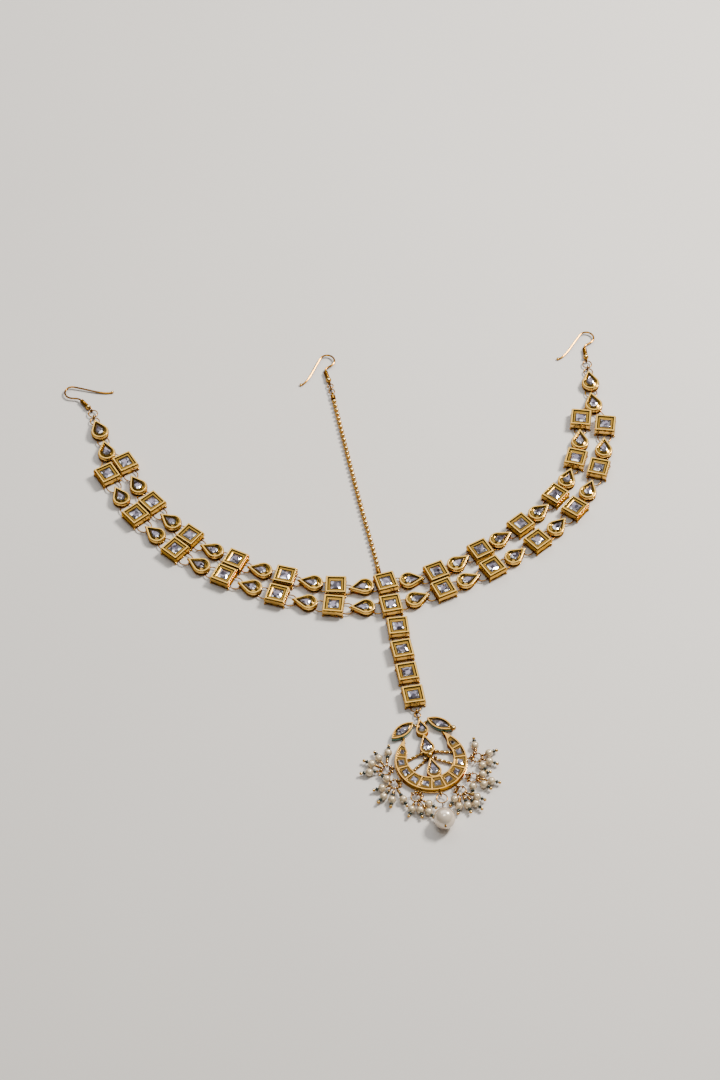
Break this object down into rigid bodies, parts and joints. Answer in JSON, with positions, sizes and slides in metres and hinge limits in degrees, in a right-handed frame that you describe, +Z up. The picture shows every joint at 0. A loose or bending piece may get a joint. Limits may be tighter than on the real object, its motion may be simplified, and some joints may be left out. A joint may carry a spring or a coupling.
{
  "type": "head ornament",
  "caption": "Matha patti: double rows of square and pear stone settings meeting at a centre column, with a ball chain, a crescent pendant, pearl clusters and wire hooks.",
  "frame": {"origin": "On the surface that it lies on, under the centre of the crossing square", "axes": "+Z up from the surface, +Y towards the hook of the ball chain, +X towards the right hook"},
  "size_m": [0.246, 0.2714, 0.0092],
  "materials": {
    "gold_plate": "polished",
    "clear_stone": "polished",
    "pearl": "satin"
  },
  "bodies": {
    "root": {"centre_square_1": "gold_plate", "centre_square_2": "gold_plate", "centre_square_3": "gold_plate", "centre_square_4": "gold_plate", "centre_square_5": "gold_plate", "centre_square_6": "gold_plate", "centre_stone_1": "clear_stone", "centre_stone_2": "clear_stone", "centre_stone_3": "clear_stone", "centre_stone_4": "clear_stone", "centre_stone_5": "clear_stone", "centre_stone_6": "clear_stone", "centre_rings": "gold_plate", "left_inner_settings": "gold_plate", "left_inner_stones": "clear_stone", "left_inner_rings": "gold_plate", "left_outer_settings": "gold_plate", "left_outer_stones": "clear_stone", "left_outer_rings": "gold_plate", "right_inner_settings": "gold_plate", "right_inner_stones": "clear_stone", "right_inner_rings": "gold_plate", "right_outer_settings": "gold_plate", "right_outer_stones": "clear_stone", "right_outer_rings": "gold_plate", "left_end_pear_1": "gold_plate", "left_end_pear_2": "gold_plate", "left_end_stone_1": "clear_stone", "left_end_stone_2": "clear_stone", "left_end_rings": "gold_plate", "right_end_pear_1": "gold_plate", "right_end_pear_2": "gold_plate", "right_end_stone_1": "clear_stone", "right_end_stone_2": "clear_stone", "right_end_rings": "gold_plate", "left_hook": "gold_plate", "right_hook": "gold_plate", "centre_hook": "gold_plate", "centre_chain": "gold_plate", "chain_caps": "gold_plate", "chain_rings": "gold_plate", "pendant_rings": "gold_plate", "pendant_frame": "gold_plate", "crescent_stones": "clear_stone", "top_stone": "clear_stone", "left_leaf_stone": "clear_stone", "right_leaf_stone": "clear_stone", "upper_pear_stone": "clear_stone", "lower_pear_stone": "clear_stone", "pearl_wires": "gold_plate", "pearls": "pearl", "big_pearl_wire": "gold_plate", "big_pearl": "pearl"}
  },
  "joints": []
}
